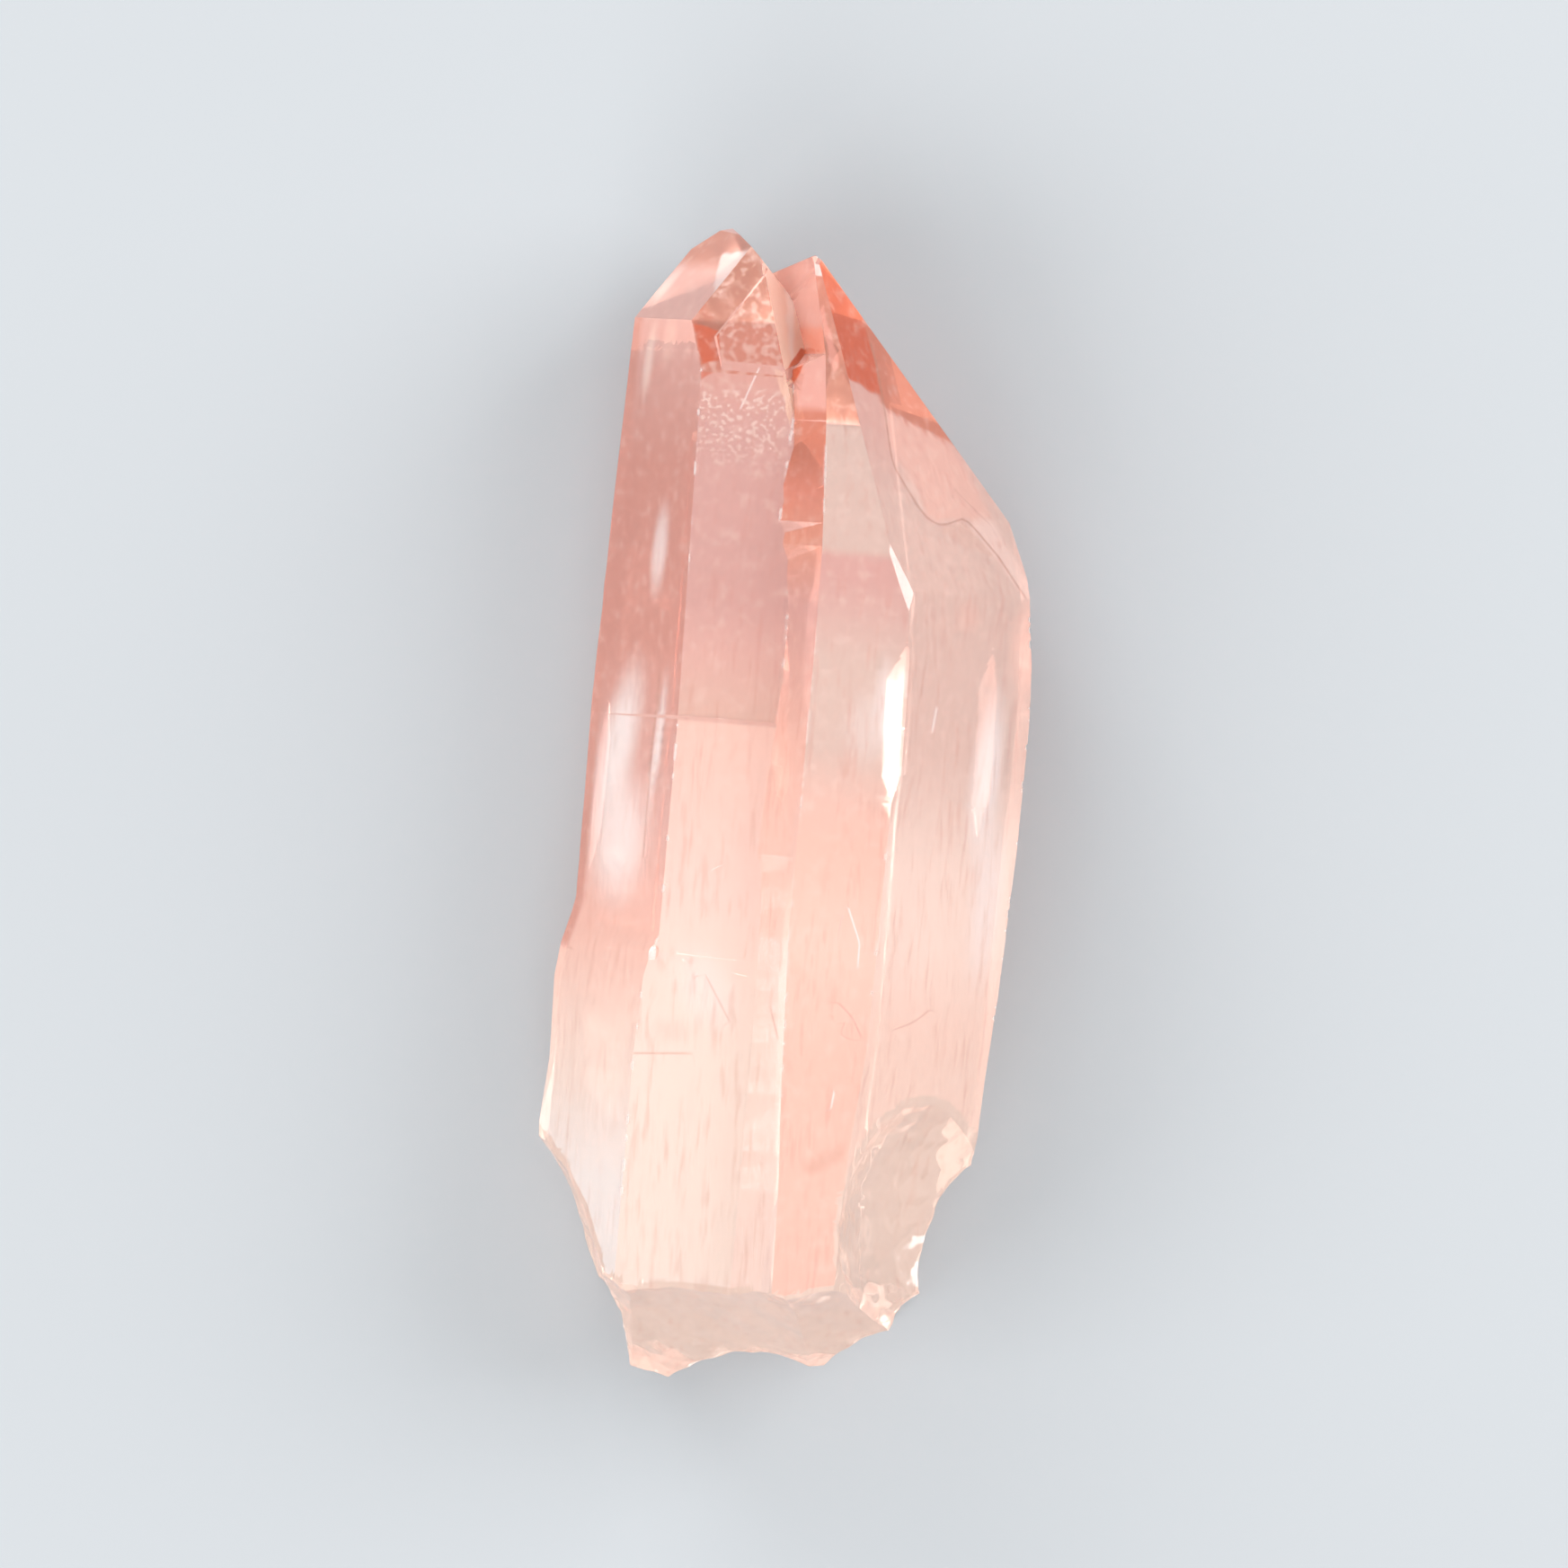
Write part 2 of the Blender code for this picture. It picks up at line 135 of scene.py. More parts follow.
# Patches of colour, under or over each other: layer, growth face, colour, strength, softness of
# the edge, corners (x, y) of a convex outline.
PATCHES = [
    (0, "slope", "shell", 0.7, 0.25, [(3.6, 19.6), (7.0, 18.5), (9.7, 14.5), (6.4, 14.1),
                                      (4.0, 18.0)]),
    (0, "slope", "pale", 0.8, 0.25, [(8.2, 14.4), (9.7, 14.5), (12.6, 10.0), (11.6, 10.7)]),
    (1, "slope", "beige", 0.6, 0.10, [(6.7, 13.8), (8.3, 12.9), (9.8, 12.6), (8.2, 14.3)]),
    (0, "slope", "terra", 1.0, 0.15, [(3.5, 19.7), (7.9, 17.9), (4.0, 25.0), (2.0, 24.0)]),
    (1, "slope", "rust", 1.0, 0.12, [(1.2, 21.2), (3.5, 20.25), (2.4, 23.6), (0.9, 28.0),
                                     (-0.9, 28.0)]),
    (0, "lean", "salmon", 0.9, 0.08, [(-0.2, 24.4), (0.9, 21.2), (1.2, 21.6), (0.1, 24.7)]),
    (0, "lean", "white", 0.8, 0.06, [(-1.1, 26.6), (-0.7, 26.2), (0.0, 26.2), (0.1, 27.2),
                                     (-0.9, 27.1)]),
    # a painted highlight on the left tip
    (0, "tip_left", "white", 0.75, 0.12, [(-5.7, 24.3), (-5.3, 24.6), (-3.7, 26.9), (-3.9, 27.3),
                                          (-5.4, 27.1)]),
    (0, "tip_front", "rust", 1.0, 0.08, [(-6.5, 23.3), (-5.9, 21.2), (-5.0, 21.5), (-5.2, 23.3),
                                         (-6.0, 24.3)]),
    (1, "tip_front", "umber", 0.85, 0.08, [(-6.5, 23.3), (-5.2, 23.0), (-3.3, 25.8), (-3.4, 26.7),
                                         (-6.0, 24.3)]),
    (0, "tip_inner", "white", 0.6, 0.15, [(-2.0, 26.2), (-1.5, 22.4), (-1.2, 21.4), (-1.3, 23.4),
                                          (-1.5, 26.0)]),
    (1, "tip_inner", "rust", 1.0, 0.06, [(-1.6, 21.2), (-1.1, 20.5), (-0.5, 22.3), (-0.9, 22.5)]),
    (0, "wall", "rust", 1.0, 0.06, [(-1.6, 21.2), (-1.1, 20.5), (-0.5, 22.3), (-0.9, 22.5)]),
    (0, "front_left", "rust", 0.7, 0.08, [(-5.95, 20.4), (-5.2, 20.9), (-5.0, 21.6),
                                          (-5.95, 21.6)]),
    (0, "front_left", "peach", 0.9, 0.06, [(-2.1, 21.15), (-1.15, 18.5), (-1.1, 20.4),
                                           (-1.5, 21.1)]),
    (1, "front_left", "blush", 0.5, 0.3, [(-5.2, 20.2), (-2.0, 20.2), (-1.4, 21.4), (-5.2, 21.6)]),
    (0, "front_right", "brown", 0.3, 0.3, [(2.5, -19.6), (3.1, -19.9), (4.6, -18.8), (4.5, -18.1),
                                           (3.2, -18.8)]),
    (0, "front_right", "shell", 0.5, 0.15, [(1.0, -8.4), (2.1, -9.8), (2.1, -10.4), (1.1, -10.2)]),
]
# Painted highlights: soft pale glows that stand in for light reflected inside the crystal, with a few
# soft tints among them: growth face, colour, strength, middle (x, y), half width and length, turn.
PAINTED_HIGHLIGHTS = [
    ("outer_left", "white", 1.0, -8.7, 1.4, 1.3, 5.6, -8),
    ("outer_left", "white", 0.9, -6.65, 1.6, 0.32, 4.6, -3),
    ("outer_left", "white", 0.9, -8.3, -3.4, 2.0, 4.6, 0),
    ("outer_left", "white", 0.75, -7.35, 11.6, 0.55, 3.2, -2),
    ("outer_left", "milk", 0.7, -8.7, 21.2, 0.35, 2.8, -4),
    ("outer_left", "cream", 0.5, -7.7, 22.4, 0.5, 1.8, -6),
    ("outer_left", "rose", 0.6, -10.4, -6.4, 0.9, 1.8, -10),
    ("tip_left", "white", 0.5, -8.0, 25.4, 0.3, 1.9, -34),
    ("front_right", "white", 0.7, 5.0, 4.3, 0.9, 3.4, 6),
    ("front_right", "white", 0.3, 4.0, 3.2, 1.6, 2.6, 0),
    ("front_right", "white", 0.6, 5.6, 5.6, 0.4, 1.2, 0),
    ("right", "white", 1.0, 10.4, 1.2, 1.1, 6.0, -3),
    ("right", "white", 0.7, 10.9, -5.0, 1.2, 6.0, -2),
    ("right", "cream", 1.0, 11.9, 8.0, 1.1, 3.4, 0),
    ("right", "shell", 0.35, 8.8, 9.3, 0.9, 1.2, 0),
    ("slope", "milk", 0.4, 5.4, 15.7, 0.35, 1.9, 33),
    ("front_left", "white", 0.5, -3.2, -10.8, 2.0, 3.0, 30),
    ("front_left", "white", 0.9, -6.1, -9.2, 0.4, 0.5, 20),
    ("front_left", "rose", 0.25, -4.9, -13.1, 1.3, 0.9, 0),
]
# Thin lines: growth face, colour, strength, half width, points (x, y). Lines on one growth face
# keep 1.6 mm apart.
LINES = [
    ("outer_left", "salmon", 0.9, 0.3, [(-10.8, -9.1), (-10.35, -7.4), (-10.2, -6.6),
                                        (-10.15, 4.0), (-9.8, 14.5), (-9.5, 23.5)]),
    ("outer_left", "brown", 0.4, 0.05, [(-6.95, -4.5), (-6.95, 0.0), (-6.85, 5.2)]),
    ("slope", "brown", 0.55, 0.05, [(11.6, 10.7), (10.1, 12.6), (8.8, 13.9), (8.2, 14.4),
                                    (7.1, 13.9), (6.4, 14.1), (5.8, 14.7), (5.0, 15.8),
                                    (4.3, 16.8), (4.0, 18.0), (3.7, 19.4), (3.5, 20.2),
                                    (3.0, 22.1), (2.7, 22.9)]),
    ("slope", "brown", 0.4, 0.06, [(6.1, 10.3), (9.9, 10.1)]),
    ("front_left", "white", 0.6, 0.05, [(-3.0, 21.1), (-3.7, 19.2)]),
    ("front_left", "blush", 0.5, 0.06, [(-6.5, -14.4), (-3.8, -14.2)]),
    ("front_left", "blush", 0.4, 0.05, [(-3.2, -10.2), (-1.9, -12.3)]),
    ("wall", "blush", 0.6, 0.05, [(0.2, -11.5), (0.7, -13.0)]),
    ("front_right", "white", 0.8, 0.05, [(3.8, -6.1), (4.5, -7.8), (4.5, -8.9)]),
    ("front_right", "blush", 0.6, 0.05, [(3.7, -11.0), (4.4, -11.6), (4.9, -12.5)]),
    ("front_right", "white", 0.8, 0.05, [(3.8, -15.6), (3.7, -16.3)]),
    ("right", "blush", 0.5, 0.05, [(6.7, -12.1), (7.6, -11.7), (8.4, -11.0)]),
    ("right", "white", 0.9, 0.06, [(7.5, 4.4), (7.4, 3.4)]),
]
# White, worn stretches of ridges: line, strength, share.
WORN_EDGES = [(LEFT_RIDGE, 0.9, 0.55), (CONTACT[7:14], 0.8, 0.5), (GROOVE_EDGE[1:7], 0.4, 0.6),
              (RIGHT_RIDGE[1:6], 0.6, 0.35)]
LINE_REACH, LINE_END = 0.5, 0.8                 # a line's strength is kept this near it, and ends there
LINE_FADE = 0.3                                 # a line fades over this much past its ends
# the share of its ellipse in which a painted highlight is whole
HIGHLIGHT_CORE = 0.2                                 # a glow is whole in this share of its ellipse
WAVER, WAVER_SCALE = 0.12, 1.3                  # how far the patches' edges stray, and how closely
WAVER_PAST_Y, WAVER_ABOVE = 10.0, 6.0           # they stray past this y and above this height only
FROST, FROST_FADE = 0.6, (0.2, 0.9)             # milk on the etched patch, and how it ends past it
FLAKE_SCALE, CELL_SCALE = 4.9, 3.3              # how close the flakes of frost and the mottles are
FLAKE_EDGE, CELL_EDGE = (0.1, 0.35), (-0.1, 0.35)       # noise at which each starts and is whole
SPECKLED_ABOVE = 8.0                            # neither is found under this height
MOTTLE_FROST = 0.28                             # milk on the mottled front
AWAY = 9.0                                      # from any mark, in widths of its edge

# --- Fine relief --------------------------------------------------------------------------------
# Growth steps across the prism faces: heights that change little by little along the crystal.
STEP_COUNT, STEP_HEIGHT = 150, 0.010
dice = np.random.default_rng(7)
STEP_PLACES = np.sort(dice.uniform(-32.0, 30.0, STEP_COUNT))
STEP_HEIGHTS = dice.normal(0.0, STEP_HEIGHT, STEP_COUNT)
LEAST_STEP = 0.3                # share of its height that a step keeps where it is weakest
PRISM_TILT = (0.10, 0.20)       # steps fade while the normal's y goes from the one to the other
ETCH_DEPTH, ETCH_SCALE, ETCH_EDGE = 0.03, 2.6, (0.05, 0.5)
ETCH_LEFT, ETCH_RIGHT, ETCH_LOW, ETCH_HIGH = 0.5, 0.6, 2.6, 0.8     # it fades in over these margins
ETCH_FACING = 0.8               # only where the normal points up by this much
RIPPLE_CENTRE = np.array((9.0, -14.0, 12.0))    # the broken surfaces ripple round this point
RIPPLE_HEIGHT, RIPPLE_TURN = 0.035, 4.2         # the turn is in radians for each millimetre
RIPPLE_STRAY, STRAY_SCALE = 2.0, 0.35
BREAK_BUMPS = [(0.05, 1.1), (0.02, 3.1)]        # height and scale of the bumps on them

# --- Mesh ---------------------------------------------------------------------------------------
COARSE, FINE, FINEST = 0.72, 0.29, 0.12         # edge lengths of the mesh
RIDGE_BAND, RIDGE_SPREAD = 0.12, 0.9            # finest this near a line, then growing at this rate
# Areas of the finest mesh, each above a height, and the rate at which it grows around them.
FINE_AREAS = [(ETCHED, 11.5), (MOTTLED, 8.5)]
AREA_SPREAD = 0.8
TIPS_FROM, TIP_SPREAD = 20.5, 0.3               # fine past this y, then growing towards the base
BACK_BELOW, BACK_COARSER = 5.0, 1.6             # under this height the edges are this much longer
MOST_ROUNDS = 14                                # of splitting
SAME_PLACE = 0.002                              # corners of the solid this close are one
FLAT = math.radians(0.4)                        # its edges that turn less than this are dropped
SHARP = math.radians(16)                        # and edges that turn more than this stay sharp

# --- Growth faces: outward direction, and the low and high corner of where it may be -------------
FAR = 40.0                      # past the crystal in every direction
LEAST_MATCH = 0.93              # cosine of how far a triangle may lean from its growth face
GROWTH_FACES = {
    "outer_left": ((-0.87, 0.0, 0.50), (-FAR, -FAR, 0), (-5.0, FAR, FAR)),
    "front_left": ((-0.04, 0.0, 1.0), (-FAR, -FAR, 11), (0.9, 21.6, 14.0)),
    "wall": ((-0.87, 0.0, 0.49), (-1.9, -FAR, 8), (1.6, FAR, FAR)),
    "front_right": ((-0.06, 0.0, 1.0), (0.6, -FAR, 14), (FAR, 12.4, FAR)),
    "lean": ((-0.06, 0.25, 0.97), (-1.5, 12.3, 10), (FAR, FAR, FAR)),
    "right": ((0.82, 0.0, 0.57), (4.5, -FAR, 0), (FAR, FAR, FAR)),
    "slope": ((0.738, 0.397, 0.546), (-0.35, 9.0, 0), (FAR, FAR, FAR)),
    "tip_left": ((-0.681, 0.618, 0.393), (-FAR, 15.0, 0), (-2.6, FAR, FAR)),
    "tip_front": ((-0.064, 0.407, 0.911), (-7.0, 20.0, 8), (-1.3, FAR, FAR)),
    "tip_inner": ((0.68, 0.53, 0.50), (-3.2, 18.0, 5), (-0.35, FAR, FAR)),
}


def smooth(low, high, value):
    """0 below low, 1 above high, and a smooth rise between them."""
    part = np.clip((value - low) / (high - low), 0.0, 1.0)
    return part * part * (3.0 - 2.0 * part)


def track_distance(track, points):
    """Distance of each point from a line given as (y, x, z) points."""
    track = np.array(track)
    y = np.clip(points[:, 1], track[0, 0], track[-1, 0])
    x = np.interp(y, track[:, 0], track[:, 1])
    z = np.interp(y, track[:, 0], track[:, 2])
    return np.sqrt((points[:, 0] - x) ** 2 + (points[:, 1] - y) ** 2 + (points[:, 2] - z) ** 2)


def fracture(points):
    """How much each point belongs to a broken surface, 0 to 1."""
    gap = np.full(len(points), FAR)
    for x, y, z, radius in HOLLOWS:
        gap = np.minimum(gap, np.abs(np.linalg.norm(points - (x, y, z), axis=1) - radius))
    return 1.0 - smooth(BREAK_NEAR, BREAK_FAR, gap)


def sampled(points, scale, where):
    """Smooth noise at the points where a mask isn't zero, and 0 elsewhere, since it is slow."""
    values = np.zeros(len(points))
    for i in np.flatnonzero(where > 0.0):
        values[i] = noise.noise(points[i] * scale)
    return values


# --- A fine mesh over the solid ------------------------------------------------------------------
def wanted_size(points):
    """How long an edge of the mesh may be at each point."""
    size = np.full(len(points), COARSE)
    for ridge in RIDGES:
        gap = track_distance(ridge, points)
        size = np.minimum(size, FINEST + RIDGE_SPREAD * np.maximum(gap - RIDGE_BAND, 0.0))
    size = np.minimum(size, COARSE + (FINE - COARSE) * fracture(points))
    for ((x0, x1), (y0, y1)), bottom in FINE_AREAS:
        outside = np.maximum.reduce([x0 - points[:, 0], points[:, 0] - x1, y0 - points[:, 1],
                                     points[:, 1] - y1, bottom - points[:, 2]])
        size = np.minimum(size, FINEST + AREA_SPREAD * np.maximum(outside, 0.0))
    size = np.minimum(size, FINE + TIP_SPREAD * np.maximum(TIPS_FROM - points[:, 1], 0.0))
    return np.where(points[:, 2] < BACK_BELOW, BACK_COARSER * size, size)


def split_faces(points, faces, cuts):
    """New triangles for old ones. cuts holds the new corner on each side, or -1."""
    count = (cuts >= 0).sum(axis=1)
    made = [faces[count == 0]]
    f, c = faces[count == 3], cuts[count == 3]
    made += [np.stack(corners, axis=1) for corners in (
        (f[:, 0], c[:, 0], c[:, 2]), (c[:, 0], f[:, 1], c[:, 1]),
        (c[:, 2], c[:, 1], f[:, 2]), (c[:, 0], c[:, 1], c[:, 2]))]
    for k in range(3):
        turn = [k, (k + 1) % 3, (k + 2) % 3]
        f, c = faces[:, turn], cuts[:, turn]
        one = (count == 1) & (c[:, 0] >= 0)
        made.append(np.stack((f[one, 0], c[one, 0], f[one, 2]), axis=1))
        made.append(np.stack((c[one, 0], f[one, 1], f[one, 2]), axis=1))
        two = (count == 2) & (c[:, 2] < 0)
        a, b, d, p, q = f[two, 0], f[two, 1], f[two, 2], c[two, 0], c[two, 1]
        made.append(np.stack((p, b, q), axis=1))
        # the rest has four corners, and its shorter diagonal is taken
        near = (np.linalg.norm(points[a] - points[q], axis=1)
                < np.linalg.norm(points[p] - points[d], axis=1))[:, None]
        made.append(np.where(near, np.stack((a, p, q), axis=1), np.stack((a, p, d), axis=1)))
        made.append(np.where(near, np.stack((a, q, d), axis=1), np.stack((p, q, d), axis=1)))
    return np.vstack(made)


def refine(points, faces):
    """Split edges longer than the wanted size until none is left. The mesh stays closed."""
    for _ in range(MOST_ROUNDS):
        pairs = np.sort(faces[:, [0, 1, 1, 2, 2, 0]].reshape(-1, 2), axis=1)
        edges, which = np.unique(pairs, axis=0, return_inverse=True)
        ends = points[edges]
        length = np.linalg.norm(ends[:, 0] - ends[:, 1], axis=1)
        middles = ends.mean(axis=1)
        split = length > wanted_size(middles)
        if not split.any():
            break
        number = np.full(len(edges), -1)
        number[split] = len(points) + np.arange(split.sum())
        points = np.vstack([points, middles[split]])
        faces = split_faces(points, faces, number[which.reshape(-1, 3)])
    return points, faces


def packed_surface():
    """Corners in the crystal's frame, and triangles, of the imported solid."""
    shape = bmesh.new()
    shape.from_mesh(bpy.data.objects["crystal"].data)
    bmesh.ops.remove_doubles(shape, verts=shape.verts, dist=SAME_PLACE * MM)
    bmesh.ops.dissolve_limit(shape, angle_limit=FLAT, verts=shape.verts, edges=shape.edges)
    bmesh.ops.triangulate(shape, faces=shape.faces, quad_method="BEAUTY", ngon_method="BEAUTY")
    shape.verts.index_update()
    points = np.array([vertex.co for vertex in shape.verts]) / MM + np.array(OFFSET)
    faces = np.array([[vertex.index for vertex in face.verts] for face in shape.faces])
    shape.free()
    return points, faces


# --- Relief and wear -----------------------------------------------------------------------------
def nicks(ridge, share, points, scale):
    """How near each point is to a line, and how deep a nick is there, both 0 to 1."""
    near = 1.0 - smooth(NICK_CORE, NICK_REACH, track_distance(ridge, points))
    along = points * NICK_STRETCH
    wave = sampled(along, scale, near) + NICK_WEAKER * sampled(along, NICK_FINER * scale, near)
    ease = NICK_EASE * share
    return near, smooth(NICK_START - ease, NICK_WHOLE - ease, wave)


def step_strength(x, y, z):
    """Where the growth steps are strong, 0 to 1: stretches in which two slow waves agree."""
    return smooth(-0.1, 0.35, np.sin(0.31 * y + 0.7 * x) * np.cos(0.17 * y - 0.4 * z))


def relief(points, normals):
    """Height of the fine relief at each point, in millimetres along its normal."""
    x, y, z = points.T
    broken = fracture(points)
    # growth steps across the prism faces
    prism = (1.0 - smooth(*PRISM_TILT, np.abs(normals[:, 1]))) * (1.0 - broken)
    steps = np.interp(y, STEP_PLACES, STEP_HEIGHTS)
    height = prism * (LEAST_STEP + (1.0 - LEAST_STEP) * step_strength(x, y, z)) * steps
    # the etched patch
    (x0, x1), (y0, y1) = ETCHED
    inside = (smooth(x0, x0 + ETCH_LEFT, x) * (1 - smooth(x1 - ETCH_RIGHT, x1, x))
              * smooth(y0, y0 + ETCH_LOW, y) * (1 - smooth(y1 - ETCH_HIGH, y1, y))
              * (normals[:, 2] > ETCH_FACING))
    height -= inside * ETCH_DEPTH * smooth(*ETCH_EDGE, sampled(points, ETCH_SCALE, inside))
    # broken surfaces: ripples round one point, and bumps
    reach = np.linalg.norm(points - RIPPLE_CENTRE, axis=1)
    stray = RIPPLE_STRAY * sampled(points, STRAY_SCALE, broken)
    rough = RIPPLE_HEIGHT * np.sin(reach * RIPPLE_TURN + stray)
    for high, scale in BREAK_BUMPS:
        rough += high * sampled(points, scale, broken)
    height += broken * rough
    # nicked edges
    for ridge, depth, share in NICKED:
        near, bite = nicks(ridge, share, points, NICK_SCALE)
        height -= depth * near * bite
    return height


def wear(points):
    """How worn and white each point is, 0 to 1."""
    worn = np.zeros(len(points))
    for ridge, _, share in NICKED:
        near, bite = nicks(ridge, share, points, NICK_SCALE)
        worn = np.maximum(worn, near * bite)
    for ridge, strength, share in WORN_EDGES:
        near, bite = nicks(ridge, share, points, WEAR_SCALE)
        worn = np.maximum(worn, strength * smooth(WORN_FROM, 1.0, near) * bite)
    return worn


# --- Marks on the growth faces -------------------------------------------------------------------
def growth_faces(points, faces):
    """The number of the growth face that each triangle belongs to, or -1."""
    corners = points[faces]
    across = np.cross(corners[:, 1] - corners[:, 0], corners[:, 2] - corners[:, 0])
    across /= np.maximum(np.linalg.norm(across, axis=1), 1e-12)[:, None]
    middles = corners.mean(axis=1)
    best = np.full(len(faces), LEAST_MATCH)
    number = np.full(len(faces), -1.0)
    for index, (direction, low, high) in enumerate(GROWTH_FACES.values()):
        match = across @ (np.array(direction) / np.linalg.norm(direction))
        inside = ((middles >= low) & (middles <= high)).all(axis=1)
        better = inside & (match > best)
        best[better] = match[better]
        number[better] = index
    number[fracture(middles) > 0.5] = -1.0
    return number


def inside_outline(corners, x, y):
    """How far inside a convex outline each place is; below zero outside."""
    ring = list(zip(corners, corners[1:] + corners[:1]))
    turn = sum(a[0] * b[1] - a[1] * b[0] for a, b in ring)
    sides = []
    for (x0, y0), (x1, y1) in ring:
        length = math.copysign(math.hypot(x1 - x0, y1 - y0), turn)
        sides.append(((x1 - x0) * (y - y0) - (y1 - y0) * (x - x0)) / length)
    return np.minimum.reduce(sides)


def beside_line(track, x, y):
    """Distance to the side of a line of (x, y) points, with a sign, and how far past its ends."""
    best, side, past = (np.full(x.shape, 1e3) for _ in range(3))
    for k, ((x0, y0), (x1, y1)) in enumerate(zip(track, track[1:])):
        length = math.hypot(x1 - x0, y1 - y0)
        ahead, up = (x1 - x0) / length, (y1 - y0) / length
        along = (x - x0) * ahead + (y - y0) * up
        across = (y - y0) * ahead - (x - x0) * up
        before = np.maximum(-along, 0.0)
        after = np.maximum(along - length, 0.0)
        gap = np.hypot(before + after, across)
        near = gap < best
        best[near], side[near] = gap[near], across[near]
        over = (before if k == 0 else 0.0) + (after if k == len(track) - 2 else 0.0)
        past[near] = np.broadcast_to(over, x.shape)[near]
    return side, past


def highlight_reach(x, y, x0, y0, width, length, turn):
    """0 in the middle of an ellipse, 1 on its outline."""
    turn = math.radians(turn)
    across = (x - x0) * math.cos(turn) + (y - y0) * math.sin(turn)
    along = (y - y0) * math.cos(turn) - (x - x0) * math.sin(turn)
    return np.hypot(across / width, along / length)


def shade_along(name, y):
    """The base colour of a growth face at each y."""
    places = [at for at, _ in ALONG[name]]
    shades = np.array([PALETTE[shade] for _, shade in ALONG[name]])
    return np.stack([*(np.interp(y, places, channel) for channel in shades.T), np.ones(y.shape)],
                    axis=-1)


def patches_on(name, layer, x, y, waver):
    """How deep each place is in a patch, in widths of its soft edge, and that patch's colour."""
    depth = np.full(x.shape, -AWAY)
    colour = np.zeros((*x.shape, 4))
    for level, on, shade, strength, soft, corners in PATCHES:
        if (level, on) != (layer, name):
            continue
        reach = (inside_outline(corners, x, y) + waver) / soft
        top = reach > depth
        depth = np.where(top, reach, depth)
        colour[top] = (*PALETTE[shade], strength)
    return depth, colour


def painted_highlights_on(name, x, y):
    """Colour and strength of the painted highlights at each place, later ones over earlier ones."""
    painted_highlight = np.zeros((*x.shape, 4))
    for on, shade, strength, *ellipse in PAINTED_HIGHLIGHTS:
        if on != name:
            continue
        part = strength * (1.0 - smooth(HIGHLIGHT_CORE, 1.0, highlight_reach(x, y, *ellipse)))
        total = part + painted_highlight[..., 3] * (1.0 - part)
        share = (part / np.maximum(total, 1e-6))[..., None]
        painted_highlight[..., :3] = painted_highlight[..., :3] * (1.0 - share) + np.array(PALETTE[shade]) * share
        painted_highlight[..., 3] = total
    return painted_highlight


def lines_on(name, x, y):
    """How far each place is beside a line, in half widths, and that line's colour."""
    gap = np.full(x.shape, AWAY)
    colour = np.zeros((*x.shape, 4))
    for on, shade, strength, width, track in LINES:
        if on != name:
            continue
        side, past = beside_line(track, x, y)
        near = 1.0 - smooth(LINE_REACH, LINE_END, np.abs(side))
        part = strength * near * (1.0 - smooth(0.0, LINE_FADE, past))
        top = part > colour[..., 3]
        gap = np.where(top, side / width, gap)
        colour[top, :3] = PALETTE[shade]
        colour[top, 3] = part[top]
    return gap, colour


def etched_frost(x, y, flakes):
    """How frosted the etched patch is at each place, 0 to 1."""
    (_, x1), (y0, y1) = ETCHED
    past, end = FROST_FADE
    return (FROST * smooth(y0, y1 - ETCH_HIGH, y) * (1.0 - smooth(y1 + past, y1 + end, y))
            * (1.0 - smooth(x1 - ETCH_RIGHT, x1, x)) * smooth(*FLAKE_EDGE, flakes))


def colour_fields(points, faces, number):
    """Values at the corners of the triangles, for the marks and painted highlights on each growth face.
    """
    x, y = points[faces][:, :, 0], points[faces][:, :, 1]
    wavering = (points[:, 1] > WAVER_PAST_Y) & (points[:, 2] > WAVER_ABOVE)
    speckled = (points[:, 1] > ETCHED[1][0]) & (points[:, 0] < 0.0) & (points[:, 2] > SPECKLED_ABOVE)
    waver = WAVER * sampled(points, WAVER_SCALE, wavering)[faces]
    flakes = sampled(points, FLAKE_SCALE, speckled)[faces]
    cells = sampled(points, CELL_SCALE, speckled)[faces]
    fields = {key: np.zeros(x.shape) for key in ("patch_depth", "over_depth", "line_gap", "frost")}
    fields.update({key: np.zeros((*x.shape, 4)) for key in ("patch", "over", "line", "painted_highlight", "base")})
    for index, name in enumerate([None, *GROWTH_FACES], -1):
        here = number == index
        u, v = x[here], y[here]
        fields["base"][here] = shade_along(name, v)
        fields["painted_highlight"][here] = painted_highlights_on(name, u, v)
        fields["line_gap"][here], fields["line"][here] = lines_on(name, u, v)
        for layer, key in enumerate(("patch", "over")):
            depth, colour = patches_on(name, layer, u, v, waver[here])
            fields[key + "_depth"][here], fields[key][here] = depth, colour
        if name == "front_left":
            fields["frost"][here] = etched_frost(u, v, flakes[here])
        if name == "tip_front":
            plain = (fields["patch_depth"][here] < 0.0) & (fields["over_depth"][here] < 0.0)
            fields["frost"][here] = MOTTLE_FROST * plain * smooth(*CELL_EDGE, cells[here])
    return fields


